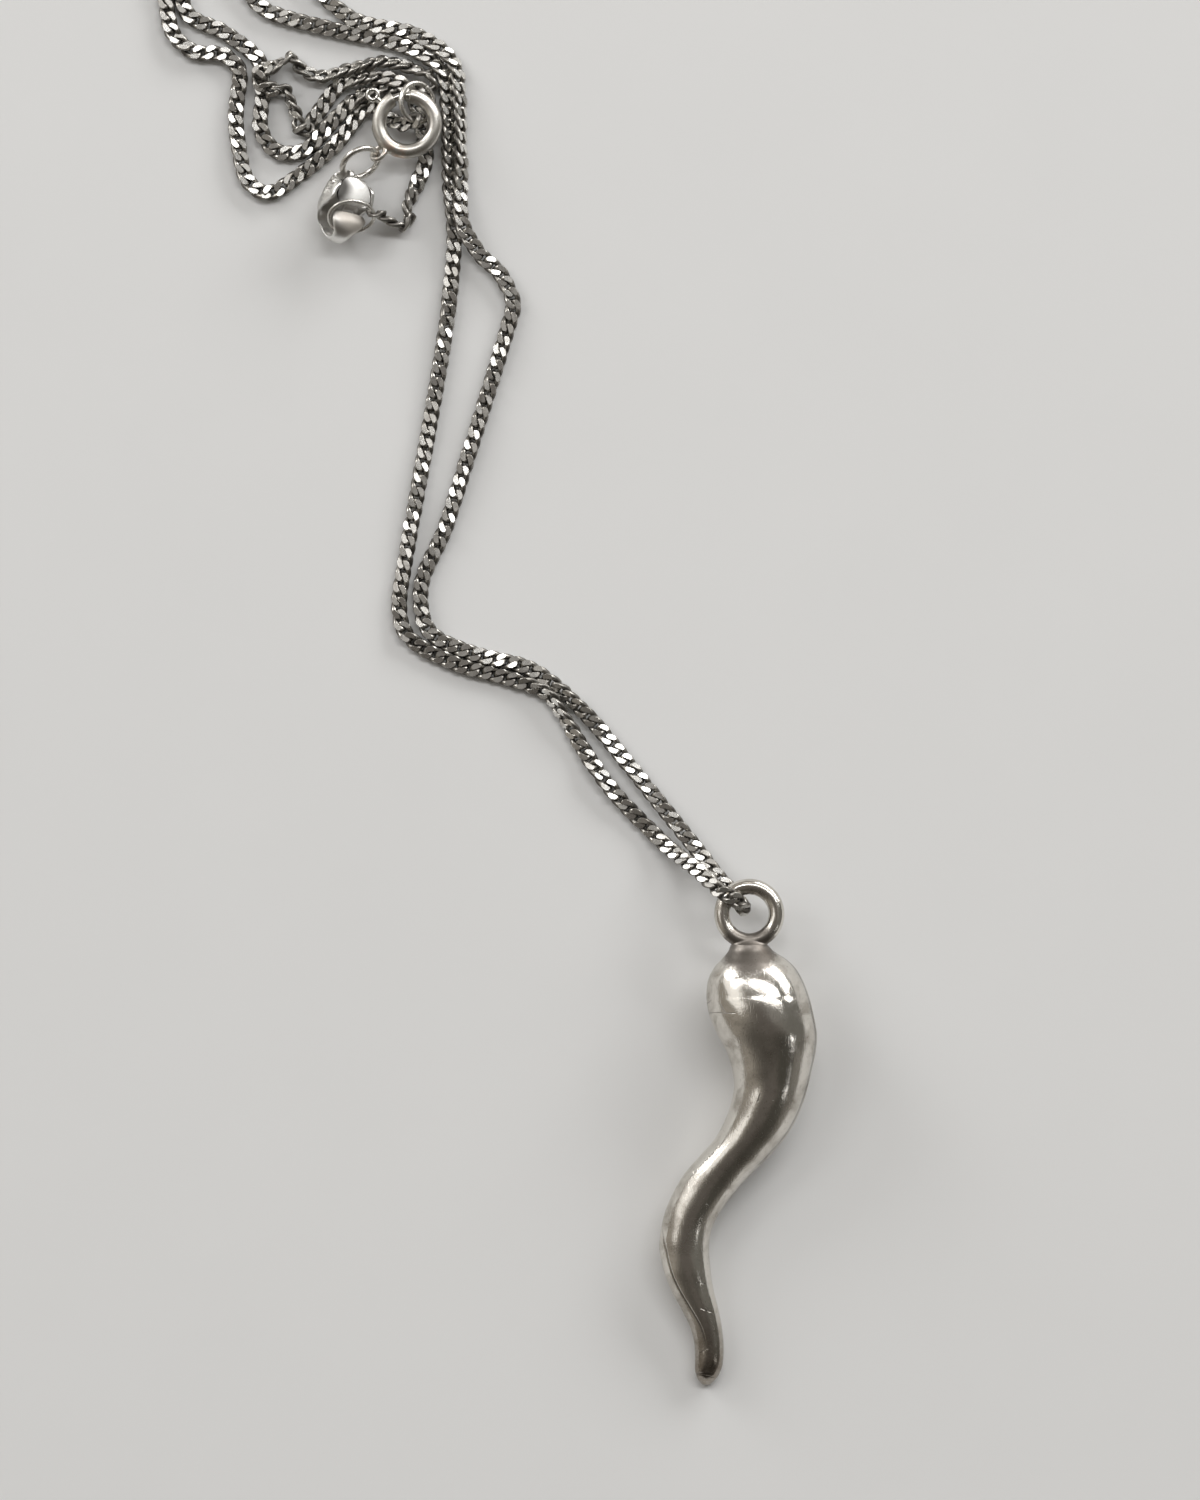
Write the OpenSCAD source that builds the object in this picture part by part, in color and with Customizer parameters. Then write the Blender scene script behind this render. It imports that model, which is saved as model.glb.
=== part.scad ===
// Horn pendant on a fine curb chain, lying as it was put down.
// Millimetres. +Z is up from the table, +Y runs from the tip of the horn to the clasps.
// The origin is on the table, under the middle of the whole piece.

/* [Horn] */
// Length of the horn from its shoulder to its tip
horn_length = 35; // [28:0.5:42]
// Greatest width of the horn
horn_width = 8.3; // [7:0.1:9.5]
// Greatest depth of the horn, from front to back
horn_depth = 7; // [6:0.1:8]
// Sideways reach of the horn's double bend
horn_sway = 6.9; // [5:0.1:8]

/* [Eye on the horn] */
// Outer diameter of the eye
eye_od = 5.6; // [5.2:0.1:6.4]
// Diameter of the eye's round wire
eye_wire = 1.2; // [0.9:0.05:1.3]
// Width of the neck between the eye and the horn
neck_width = 3; // [2.4:0.1:3.4]

/* [Chain] */
// Width of the flat curb chain
chain_width = 1.1; // [0.8:0.05:1.15]
// Thickness of the flat curb chain
chain_thick = 0.58; // [0.4:0.02:0.6]

/* [Bolt ring] */
// Outer diameter of the bolt ring
ring_od = 5.7; // [5.4:0.1:6]
// Diameter of the bolt ring's tube
ring_tube = 1.2; // [1.1:0.05:1.3]
// Diameter of the bolt that closes the ring
bolt_wire = 0.64; // [0.5:0.02:0.66]
// Room between the bolt and the bore that it slides in
bolt_room = 0.07; // [0.05:0.01:0.1]
// Opening of the ring, in degrees round it
ring_gap = 34; // [30:1:36]
// Outer diameter of the round thumb tab on the bolt
tab_od = 1.2; // [1:0.05:1.3]
// Outer diameter of the small eye soldered under the bolt ring
lug_od = 1.64; // [1.6:0.02:1.8]
// Wire of that small eye
lug_wire = 0.4; // [0.3:0.02:0.42]

/* [Jump rings] */
// Outer diameter of the jump ring between the bolt ring and the chain
chain_ring_od = 3.6; // [3.4:0.05:3.7]
// Outer diameter of the jump ring between the bolt ring and the lever clasp
clasp_ring_od = 3.5; // [3.4:0.05:3.6]
// Length of the oval end ring held in the lever clasp
hook_ring_long = 4.1; // [4:0.05:4.3]
// Width of that oval ring
hook_ring_wide = 3.5; // [3.4:0.05:3.6]
// Wire of the two jump rings
jump_wire = 0.42; // [0.34:0.02:0.46]
// Wire of the oval end ring
hook_wire = 0.32; // [0.26:0.02:0.36]

/* [Lever clasp] */
// Length of the clasp
clasp_length = 6.2; // [5.9:0.1:6.6]
// Depth of the clasp from its back to its lever
clasp_depth = 3.1; // [2.9:0.05:3.3]
// Width of the clasp across its two cheeks
clasp_width = 3.7; // [3.5:0.05:3.9]
// Thickness of each cheek
cheek = 0.3; // [0.24:0.02:0.34]
// Thickness of the hook
hook_thick = 0.6; // [0.5:0.05:0.7]
// Thickness of the lever's plate
lever_thick = 0.4; // [0.3:0.02:0.45]
// Room between the lever and what it moves past
lever_room = 0.07; // [0.05:0.01:0.1]
// Diameter of the hinge pin
pin_d = 0.44; // [0.36:0.02:0.46]

/* [Hidden] */
$fn = 48;
silver = [0.74, 0.73, 0.70];
grey_silver = [0.60, 0.60, 0.57];
warm_silver = [0.72, 0.66, 0.58];

function unit(v) = v / norm(v);

// Horn: rows of [along, sway, width, depth], as shares of the length, sway, width and depth.
// The outline bends twice and ends in a blunt tip; it lies on its belly.
horn_rows = [
    [0.000, 0.00, 0.36, 0.38], [0.014, 0.02, 0.44, 0.44], [0.030, 0.05, 0.60, 0.58],
    [0.050, 0.06, 0.77, 0.74], [0.080, 0.07, 0.91, 0.89], [0.120, 0.10, 0.99, 0.98],
    [0.160, 0.14, 1.00, 1.00], [0.200, 0.20, 0.96, 0.98], [0.240, 0.25, 0.86, 0.92],
    [0.280, 0.26, 0.77, 0.86], [0.320, 0.25, 0.71, 0.81], [0.360, 0.20, 0.69, 0.78],
    [0.400, 0.12, 0.68, 0.74], [0.440, 0.00, 0.67, 0.69], [0.480, -0.18, 0.67, 0.64],
    [0.520, -0.37, 0.64, 0.60], [0.560, -0.52, 0.59, 0.57], [0.600, -0.64, 0.54, 0.55],
    [0.640, -0.72, 0.49, 0.53], [0.685, -0.75, 0.48, 0.51], [0.735, -0.72, 0.455, 0.48],
    [0.780, -0.66, 0.41, 0.43], [0.825, -0.57, 0.355, 0.38], [0.865, -0.50, 0.305, 0.34],
    [0.905, -0.465, 0.28, 0.31], [0.945, -0.465, 0.27, 0.29], [0.968, -0.48, 0.24, 0.25],
    [0.985, -0.49, 0.17, 0.18], [0.996, -0.495, 0.08, 0.10]
];
horn_sides = 24;
eye_r = (eye_od - eye_wire) / 2;
eye_at = [21, -35.7];
eye_z = 3.55;
shoulder_y = eye_at[1] - eye_od / 2 + 0.3;
neck_drop = 0.1;

function horn_z(row) = max(row[3] * horn_depth / 2, row[0] < 0.2 ? eye_z - row[0] : 0);
function horn_mid(row) = [eye_at[0] + row[1] * horn_sway, shoulder_y - row[0] * horn_length, horn_z(row)];
function horn_ring(row) = [for (k = [0:horn_sides - 1]) let (a = 360 * k / horn_sides)
    horn_mid(row) + [row[2] * horn_width / 2 * cos(a), 0, row[3] * horn_depth / 2 * sin(a)]];

// A closed skin over a stack of rings that all have the same number of points
module skin(rings) {
    n = len(rings[0]);
    m = len(rings);
    points = [for (r = rings) each r];
    sides = [for (i = [0:m - 2]) for (k = [0:n - 1]) let (j = (k + 1) % n) each [
        [i * n + k, (i + 1) * n + j, i * n + j],
        [i * n + k, (i + 1) * n + k, (i + 1) * n + j]]];
    first = [for (k = [0:n - 1]) k];
    last = [for (k = [n - 1:-1:0]) (m - 1) * n + k];
    polyhedron(points, concat(sides, [first, last]), convexity = 8);
}

// A round wire bent into a ring that lies flat round the origin
module wire_ring(r, wire) rotate_extrude() translate([r, 0]) circle(d = wire);

module horn() color(grey_silver) {
    skin([for (row = horn_rows) horn_ring(row)]);
    translate([eye_at[0], eye_at[1], eye_z]) wire_ring(eye_r, eye_wire);
    translate([eye_at[0], shoulder_y - neck_drop, eye_z]) rotate([-90, 0, 0])
        cylinder(d1 = neck_width, d2 = eye_wire * 1.6, h = eye_wire * 0.8);
}

// Chain: one curb chain of 45 cm, as a flat bar along points of [x, y, z, roll], the roll in degrees.
// From the bolt ring it runs round the outer left loop and the neck, down to the pendant and back,
// round the neck again, along the heap and its tangle, and down to the lever clasp.
route = [
    // from the jump ring on the bolt ring, down to the table
    [-6.7, 27.9, 1.55, 0], [-7.9, 28.5, 0.75, 0], [-9.1, 29.5, 0.3, 0],
    // lower side of the heap, then the outer left loop
    [-10.2, 28.9, 0.3, 0], [-12.1, 26.5, 0.3, 0], [-15, 24, 0.3, 0], [-17.6, 22.5, 0.3, 0],
    [-19.4, 23.8, 0.3, 0], [-20.2, 28.4, 0.3, 0], [-19.9, 32.3, 0.3, 0], [-21.2, 33.7, 0.3, 0],
    [-23.7, 34, 0.3, 0], [-25.5, 36, 0.3, 0],
    // outer loop round the neck, which the photo cuts off
    [-26.4, 44, 0.3, 0], [-25.8, 56, 0.3, 0], [-23.3, 68.4, 0.3, 0], [-19.3, 72.5, 0.3, 0],
    [-14.9, 67.6, 0.3, 0], [-13.4, 55.2, 0.3, 0], [-15.5, 42.4, 0.3, 0],
    // right-hand strand, down to the pendant
    [-11.3, 36.9, 0.3, 0], [-5.9, 35.4, 0.3, 0], [-2.8, 33.2, 0.42, -35], [-2.2, 30, 0.5, -40],
    [-2.1, 24.8, 0.5, -40], [-2, 20.2, 1, 0], [-0.6, 17.6, 0.55, 0], [1.2, 15.8, 0.3, 0],
    [2.1, 13, 0.3, 0], [-3.2, -4.3, 0.3, 0], [-5.2, -9.1, 0.3, 0],
    [-4.6, -12.8, 0.3, 0], [-1.2, -14.6, 0.3, 0], [3.3, -15.8, 0.3, 0], [6.2, -17.8, 0.5, 45],
    [9.3, -21, 0.3, 0], [17, -30.6, 0.9, 0],
    // under the rim of the eye, up through it and back over the rim
    [18.4, -32.5, 1.9, 0], [19.7, -34, 2.35, 0], [20.6, -35.3, 3.4, 0], [19.9, -34.6, 4.5, 0],
    [18.6, -33.9, 4.75, 0],
    // left-hand strand, back up
    [16.9, -32.2, 3, 0], [14.1, -29.8, 0.4, 0], [9.4, -24.8, 0.3, 0],
    [5.2, -18.2, 0.5, -45], [2.3, -16.8, 0.3, 0], [-2.6, -15.4, 0.3, 0], [-6.4, -13.1, 0.3, 0],
    [-6.9, -9.6, 0.3, 0], [-3.5, 10, 0.3, 0], [-2.6, 18.4, 0.3, 0], [-3, 23.6, 0.4, 30],
    [-3.2, 30, 0.45, 40], [-3.8, 32.6, 0.42, 35], [-6.9, 34.5, 0.3, 0],
    // inner loop round the neck, which the photo cuts off
    [-17.9, 37.4, 0.3, 0], [-20, 42.4, 0.3, 0], [-16.8, 52.8, 0.3, 0], [-16.3, 63.2, 0.3, 0],
    [-19.4, 69.4, 0.3, 0], [-22.6, 64, 0.3, 0], [-24.5, 52.8, 0.3, 0], [-25, 42.4, 0.3, 0],
    // inner left loop, then the middle of the heap
    [-24.2, 37.2, 0.3, 0], [-21.1, 35.5, 0.3, 0], [-18.4, 33.3, 0.3, 0], [-18, 30.9, 0.3, 0],
    [-18.2, 27.8, 0.3, 0], [-16.9, 25.9, 0.3, 0], [-14.6, 26, 0.3, 0], [-12.5, 28.2, 0.3, 0],
    [-10.4, 30.2, 0.4, -30], [-8.5, 30.9, 0.45, -40],
    // turn beside the bolt ring, and back along the top of the heap
    [-6.5, 31, 0.3, 0], [-4.8, 30.8, 0.5, -50], [-4.4, 31.6, 0.6, -90], [-5.5, 32.4, 0.5, -130],
    [-8.6, 33.1, 0.5, -130], [-13.1, 31.9, 0.4, -160],
    // tangle over the inner left loop
    [-14.6, 32.3, 0.45, -150], [-15.7, 33.4, 0.6, -110], [-16.8, 32.8, 1, -150],
    [-18.3, 32.1, 1.05, -180], [-17.9, 31, 1.05, -180], [-16.2, 30.7, 0.7, -120],
    [-14.9, 27.6, 0.6, -120],
    // upper side of the heap, under the bolt ring and down to the clasp
    [-14, 28.4, 0.4, -150], [-13.1, 29.7, 0.3, -180], [-11.8, 31.2, 0.4, -210],
    [-9.6, 31.8, 0.5, -230], [-7.3, 31.5, 0.9, -195], [-6.1, 30.4, 1.15, -180],
    [-5.4, 28.6, 0.5, -180], [-4.9, 25.4, 0.3, -180], [-5.7, 23, 0.44, -210], [-6.3, 21.5, 0.57, -240],
    // standing on its edge, round a sharp corner and up to the oval ring
    [-6.4, 20.7, 0.58, -270], [-6.3, 20.1, 0.6, -270], [-6.9, 19.9, 0.7, -270], [-7.8, 20.2, 1.1, -270],
    [-8.6, 20.6, 1.65, -270]
];
bar_sides = 8;
steep = 0.3;

function at(i) = [route[i][0], route[i][1], route[i][2]];
function step(i) = unit(at(min(i + 1, len(route) - 1)) - at(min(i, len(route) - 2)));
function heading(i) = unit(step(i) + step(max(i - 1, 0)));
function level(t, last) = norm(cross([0, 0, 1], t)) > steep ? unit(cross([0, 0, 1], t))
    : unit(last - (last * t) * t);
function keep_side(v, last) = v * last < 0 ? -v : v;
function across(i, last) = keep_side(level(heading(i), last), last);
function crosswise(i = 0, last = [0, 1, 0]) = i == len(route) ? []
    : let (s = across(i, last)) concat([s], crosswise(i + 1, s));
function bar_ring(p, s, u, turn) = let (w = s * cos(turn) + u * sin(turn), v = u * cos(turn) - s * sin(turn))
    [for (k = [0:bar_sides - 1]) let (a = (k + 0.5) * 360 / bar_sides, c = cos(180 / bar_sides))
        p + w * chain_width / 2 * cos(a) / c + v * chain_thick / 2 * sin(a) / c];

module chain() color(silver) {
    side = crosswise();
    skin([for (i = [0:len(route) - 1])
        bar_ring(at(i), side[i], cross(heading(i), side[i]), route[i][3])]);
}

// Bolt ring: a tube bent round, open at the top, with a sprung bolt that slides round inside it.
// Angles are in degrees round the ring from +X.
ring_at = [-6.4, 27.9, 2.1];
ring_r = (ring_od - ring_tube) / 2;
gap_right = 84;
gap_left = gap_right + ring_gap;
bolt_travel = 36;
bolt_seat = 4;
tab_angle = 139.5;
tab_neck = 0.36;
tab_r = ring_od / 2 + tab_od / 2 + 0.13;
bolt_tail = 12;
bore_d = bolt_wire + 2 * bolt_room;
lug_angle = 227;
lug_turn = 42;
lug_sink = 0.37;
lug_r = ring_od / 2 + lug_od / 2 - lug_sink;

// A piece of round bar bent round the origin from one angle to another
module arc_bar(r, d, from, to) rotate([0, 0, from])
    rotate_extrude(angle = to - from) translate([r, 0]) circle(d = d);

module bolt_ring() color(warm_silver) translate(ring_at) {
    difference() {
        arc_bar(ring_r, ring_tube, gap_left, 360 + gap_right);
        arc_bar(ring_r, bore_d, gap_left - 1, tab_angle + bolt_tail + bolt_travel + 2);
        arc_bar(ring_r, bore_d, gap_right - bolt_seat - 3, gap_right + 1);
        rotate([0, 0, tab_angle - 9]) rotate_extrude(angle = bolt_travel + 18)
            translate([ring_r, -tab_neck / 2 - bolt_room]) square([ring_tube, tab_neck + 2 * bolt_room]);
    }
    rotate([0, 0, lug_angle]) translate([lug_r, 0, 0]) rotate([90 - lug_turn, 0, 0])
        wire_ring((lug_od - lug_wire) / 2, lug_wire);
}

module ring_bolt() color(silver) translate(ring_at) {
    arc_bar(ring_r, bolt_wire, gap_right - bolt_seat, tab_angle + bolt_tail);
    rotate([0, 0, tab_angle]) {
        translate([ring_r, 0, 0]) rotate([0, 90, 0])
            cylinder(d = tab_neck, h = tab_r - tab_od / 2 - ring_r + 0.1);
        translate([tab_r, 0, 0]) wire_ring((tab_od - tab_neck) / 2, tab_neck);
    }
}

// Jump ring on the bolt ring: over the bolt on its left side, under the tube on its right side
chain_ring_at = [-5.55, 29.6, 2.02];
chain_ring_tilt = 36;
module chain_ring() color(silver) translate(chain_ring_at) rotate([0, chain_ring_tilt, 0])
    wire_ring((chain_ring_od - jump_wire) / 2, jump_wire);

// Lever clasp, drawn with its length along +Y, its back at Z = 0 and its lever on top,
// then rolled onto one edge of its back and turned. It hangs from the hole in its base.
base_at = [-11.5906, 23.7988];
clasp_roll = 28;
clasp_turn = -11;
clasp_lift = 0.47;
back_round = 1.25;
hook_r = clasp_depth / 2;
hinge_y = clasp_length - 1.6;
hinge_z = 2.05;
lip_y = 3;
lip_h = 0.35;
lip_width = 1.7;
tip_y = lip_y - 0.37;
tip_width = 2;
cheek_y = lip_y + lip_h + lever_room;
base_r = 0.7;
base_hole = 0.96;
base_z = 1.3;
base_width = 0.9;
tip_z = 1.7;

module place_clasp() translate([base_at[0], base_at[1], clasp_lift])
    rotate([0, 0, clasp_turn]) rotate([0, clasp_roll, 0]) translate([0, base_r - clasp_length, 0]) children();

// Draws a shape given in (Y, Z) and runs it across the clasp
module side_plate(w) rotate([90, 0, 90]) linear_extrude(w, center = true) children();

// The clasp seen from its side, with the round of the hook at the bottom and the base at the top
module side_outline() {
    translate([hook_r, hook_r]) circle(hook_r);
    translate([clasp_length - base_r, base_z]) circle(base_r);
    polygon([[hook_r, 0], [clasp_length - base_r, base_z - base_r],
             [clasp_length - base_r, base_z + base_r], [cheek_y, clasp_depth - 0.05],
             [hook_r, clasp_depth]]);
}

// The clasp seen from its front: a narrow hook, wide cheeks and a narrow base
module front_outline() {
    half = clasp_width / 2;
    neck_y = hinge_y + 0.55;
    polygon([[-0.55, -0.1], [0.5, -0.1], [0.95, 0.8], [half, 2.3], [half, hinge_y - 1],
             [half - 0.25, hinge_y], [base_width / 2 + 0.12, neck_y], [base_width / 2, clasp_length + 0.1],
             [-base_width / 2, clasp_length + 0.1], [-base_width / 2 - 0.12, neck_y],
             [0.25 - half, hinge_y], [-half, hinge_y - 1], [-half, 1.9], [-1.2, 0.6]]);
}

module clasp_body() color(silver) place_clasp() difference() {
    intersection() {
        side_plate(clasp_width) side_outline();
        linear_extrude(clasp_depth) front_outline();
        rotate([-90, 0, 0]) linear_extrude(clasp_length) cross_outline();
    }
    // the round of the hook
    side_plate(clasp_width + 1) {
        translate([hook_r, hook_r]) circle(hook_r - hook_thick);
        translate([hook_r, hook_thick]) square([cheek_y - hook_r - 0.1, clasp_depth - 2 * hook_thick]);
    }
    // the opening that the lever closes
    side_plate(clasp_width + 1) translate([tip_y, hook_r]) square([cheek_y - tip_y, clasp_depth]);
    // the slot between the cheeks, where the lever swings
    side_plate(clasp_width - 2 * cheek) slot_outline();
    // both sides of the hook's free end, which is narrower than its back
    for (side = [0, 1]) mirror([side, 0, 0]) translate([tip_width / 2, -0.1, tip_z])
        cube([clasp_width, cheek_y + 0.1, clasp_depth]);
    // holes for the jump ring and the pin
    translate([0, clasp_length - base_r, base_z]) rotate([0, 90, 0])
        cylinder(d = base_hole, h = clasp_width, center = true);
    translate([0, hinge_y, hinge_z]) rotate([0, 90, 0])
        cylinder(d = pin_d + 0.02, h = clasp_width + 1, center = true);
}

// Section across the clasp, in (X, -Z), with rounded back corners
module cross_outline() {
    half = clasp_width / 2;
    mirror([0, 1]) {
        translate([back_round - half, 0]) square([clasp_width - 2 * back_round, clasp_depth]);
        translate([-half, back_round]) square([clasp_width, clasp_depth - back_round]);
        for (x = [back_round - half, half - back_round]) translate([x, back_round]) circle(back_round);
    }
}

module slot_outline() {
    translate([cheek_y - 0.3, hook_thick]) square([hinge_y - cheek_y + 0.3, clasp_depth]);
    translate([hinge_y, hinge_z]) circle(d = boss_d + 2 * lever_room);
    translate([hinge_y - 0.1, hinge_z]) square([boss_d / 2 + lever_room + 0.1, clasp_depth]);
}

// Lever: a plate between the cheeks, with a round boss on the pin, a lip and a nose behind the hook's tip
lever_width = clasp_width - 2 * cheek - 2 * lever_room;
boss_d = 0.84;
nose_y = tip_y - 0.16;
nose_width = 1.2;
nose_z = clasp_depth - hook_thick - lever_thick - lever_room;
module clasp_lever() color(silver) place_clasp() difference() {
    union() {
        side_plate(lever_width) {
            translate([hinge_y, hinge_z]) circle(d = boss_d);
            polygon([[hinge_y - 0.36, hinge_z + 0.1], [hinge_y + 0.4, hinge_z + 0.05],
                     [hinge_y + 0.3, clasp_depth - 0.62], [hinge_y - 0.3, clasp_depth - 0.26],
                     [lip_y, clasp_depth], [lip_y, clasp_depth - lever_thick],
                     [hinge_y - 0.85, clasp_depth - 0.24 - lever_thick]]);
        }
        side_plate(lip_width) translate([lip_y, clasp_depth - lever_thick])
            square([lip_h, lever_thick + 0.06]);
        side_plate(nose_width) polygon([[nose_y, nose_z], [nose_y, nose_z + lever_thick],
            [tip_y + 0.06, nose_z + lever_thick], [lip_y + 0.3, clasp_depth - 0.1],
            [lip_y + 1, clasp_depth - 0.2], [lip_y + 0.5, nose_z]]);
    }
    translate([0, hinge_y, hinge_z]) rotate([0, 90, 0])
        cylinder(d = pin_d + 2 * lever_room, h = clasp_width + 1, center = true);
}

module clasp_pin() color(grey_silver) place_clasp() translate([0, hinge_y, hinge_z])
    rotate([0, 90, 0]) cylinder(d = pin_d, h = clasp_width, center = true);

// Jump ring from the base of the lever clasp to the small eye on the bolt ring
clasp_ring_at = [-10.11, 24.7, 2.2];
clasp_ring_turn = 33;
clasp_ring_rise = 8;
clasp_ring_tilt = 56;
module clasp_ring() color(silver) translate(clasp_ring_at) rotate([0, -clasp_ring_rise, clasp_ring_turn])
    rotate([clasp_ring_tilt, 0, 0]) wire_ring((clasp_ring_od - jump_wire) / 2, jump_wire);

// Oval end ring of the chain: through the hook behind its free end, and over the lip of the lever
hook_at = [0.25, tip_y - 0.43, clasp_depth - 0.48];
hook_slope = 43;
module hook_ring() color(silver) place_clasp() translate(hook_at) rotate([hook_slope, 0, 0])
    oval_ring((hook_ring_long - hook_wire) / 2, (hook_ring_wide - hook_wire) / 2, hook_wire);

// A round wire bent into an oval that lies flat round the origin
oval_steps = 48;
wire_sides = 12;
module oval_ring(long, wide, wire) skin_loop([for (i = [0:oval_steps - 1])
    let (a = -360 * i / oval_steps, n = unit([wide * cos(a), long * sin(a), 0]))
    [for (k = [0:wire_sides - 1]) let (b = 360 * k / wire_sides)
        [long * cos(a), wide * sin(a), 0] + wire / 2 * (n * cos(b) + [0, 0, sin(b)])]]);

// A closed skin over a ring of rings
module skin_loop(rings) {
    n = len(rings[0]);
    m = len(rings);
    points = [for (r = rings) each r];
    sides = [for (i = [0:m - 1]) for (k = [0:n - 1]) let (j = (k + 1) % n, o = (i + 1) % m) each [
        [i * n + k, o * n + j, i * n + j],
        [i * n + k, o * n + k, o * n + j]]];
    polyhedron(points, sides, convexity = 6);
}

horn();
chain();
bolt_ring();
ring_bolt();
chain_ring();
clasp_ring();
clasp_body();
clasp_lever();
clasp_pin();
hook_ring();
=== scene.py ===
import bpy, bmesh, math, random
import numpy as np
from mathutils import Matrix, Vector, noise


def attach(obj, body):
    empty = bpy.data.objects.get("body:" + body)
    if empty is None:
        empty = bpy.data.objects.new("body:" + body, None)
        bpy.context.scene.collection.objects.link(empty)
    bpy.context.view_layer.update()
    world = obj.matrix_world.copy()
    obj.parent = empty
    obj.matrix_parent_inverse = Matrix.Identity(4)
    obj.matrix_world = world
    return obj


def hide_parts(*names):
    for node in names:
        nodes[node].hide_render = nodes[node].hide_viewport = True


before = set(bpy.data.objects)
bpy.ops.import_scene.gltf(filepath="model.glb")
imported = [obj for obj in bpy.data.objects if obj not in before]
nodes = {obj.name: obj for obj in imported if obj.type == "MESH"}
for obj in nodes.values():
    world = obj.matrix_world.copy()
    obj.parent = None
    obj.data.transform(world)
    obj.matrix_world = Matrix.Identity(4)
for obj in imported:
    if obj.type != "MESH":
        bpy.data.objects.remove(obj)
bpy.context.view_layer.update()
mm = 0.001
print("loaded the frame:", ", ".join(sorted(nodes)))


# small helpers for objects and meshes

def addObject(name, mesh, body="necklace", replaced=()):
    obj = bpy.data.objects.new(name, mesh)
    bpy.context.scene.collection.objects.link(obj)
    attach(obj, body)
    if replaced:
        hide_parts(*replaced)
    return obj


def meshFromGrid(name, rows, closedAlong=False):
    mesh = bpy.data.meshes.new(name)
    count, sides = len(rows), len(rows[0])
    points = [p for row in rows for p in row]
    faces = []
    for i in range(count if closedAlong else count - 1):
        a, b = i * sides, ((i + 1) % count) * sides
        for k in range(sides):
            n = (k + 1) % sides
            faces.append((a + k, a + n, b + n, b + k))
    if not closedAlong:  # both ends get a cap
        faces.append(tuple(range(sides - 1, -1, -1)))
        faces.append(tuple((count - 1) * sides + k for k in range(sides)))
    mesh.from_pydata(points, [], faces)
    mesh.shade_smooth()
    mesh.update()
    return mesh


def applied(obj):
    graph = bpy.context.evaluated_depsgraph_get()
    mesh = bpy.data.meshes.new_from_object(obj.evaluated_get(graph))
    obj.modifiers.clear()
    old = obj.data
    obj.data = mesh
    bpy.data.meshes.remove(old)


def softened(mesh, voxel, passes):
    # voxel remesh and smoothing, in millimetres, because the remesher wants sizes well above 0.0001
    mesh.transform(Matrix.Scale(1 / mm, 4))
    obj = bpy.data.objects.new("softening", mesh)
    bpy.context.scene.collection.objects.link(obj)
    remesh = obj.modifiers.new("remesh", "REMESH")
    remesh.mode = "VOXEL"
    remesh.voxel_size = voxel
    smooth = obj.modifiers.new("smooth", "SMOOTH")
    smooth.factor, smooth.iterations = 0.5, passes
    applied(obj)
    result = obj.data
    bpy.data.objects.remove(obj)
    result.transform(Matrix.Scale(mm, 4))
    result.shade_smooth()
    return result


# shader nodes

def addNode(tree, kind, **values):
    made = tree.nodes.new(kind)
    for key, value in values.items():
        setattr(made, key, value)
    return made


def feed(tree, target, source):
    if hasattr(source, "bl_rna") and source.bl_rna.identifier.startswith("NodeSocket"):
        tree.links.new(source, target)
    else:
        target.default_value = source


def whereOn(tree):
    return addNode(tree, "ShaderNodeTexCoord").outputs["Object"]


def mathNode(tree, operation, a, b=0.0, clamp=False):
    made = addNode(tree, "ShaderNodeMath", operation=operation, use_clamp=clamp)
    feed(tree, made.inputs[0], a)
    feed(tree, made.inputs[1], b)
    return made.outputs[0]


def times(tree, a, b, clamp=False):
    return mathNode(tree, "MULTIPLY", a, b, clamp)


def plus(tree, a, b):
    return mathNode(tree, "ADD", a, b)


def rangeNode(tree, value, low, high, toLow=0.0, toHigh=1.0):
    made = addNode(tree, "ShaderNodeMapRange", interpolation_type="SMOOTHSTEP")
    for socket, source in zip(made.inputs, (value, low, high, toLow, toHigh)):
        feed(tree, socket, source)
    return made.outputs[0]


def mixColor(tree, factor, a, b):
    made = addNode(tree, "ShaderNodeMix", data_type="RGBA")
    feed(tree, made.inputs[0], factor)
    feed(tree, made.inputs[6], a)
    feed(tree, made.inputs[7], b)
    return made.outputs[2]


def noiseNode(tree, coords, scale, detail=3.0, roughness=0.5, distortion=0.0):
    made = addNode(tree, "ShaderNodeTexNoise")
    feed(tree, made.inputs["Vector"], coords)
    feed(tree, made.inputs["Scale"], scale)
    made.inputs["Detail"].default_value = detail
    made.inputs["Roughness"].default_value = roughness
    made.inputs["Distortion"].default_value = distortion
    return made.outputs[0]


def newGroup(name, inputs, outputs):
    tree = bpy.data.node_groups.new(name, "ShaderNodeTree")
    for socketName, kind, value in inputs:
        socket = tree.interface.new_socket(socketName, in_out="INPUT", socket_type=kind)
        if value is not None:
            socket.default_value = value
    for socketName, kind in outputs:
        tree.interface.new_socket(socketName, in_out="OUTPUT", socket_type=kind)
    entry, leave = tree.nodes.new("NodeGroupInput"), tree.nodes.new("NodeGroupOutput")
    return tree, entry.outputs, leave.inputs


def placeGroup(tree, group, **values):
    made = addNode(tree, "ShaderNodeGroup", node_tree=group)
    for key, value in values.items():
        feed(tree, made.inputs[key], value)
    return made.outputs


tarnishLook = {
    "cloudEdge": (0.42, 0.72), "cloudShare": 0.75, "cloudHaze": 0.4,
    "speckEdge": (0.60, 0.74), "speckShare": 0.6,
}


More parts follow.
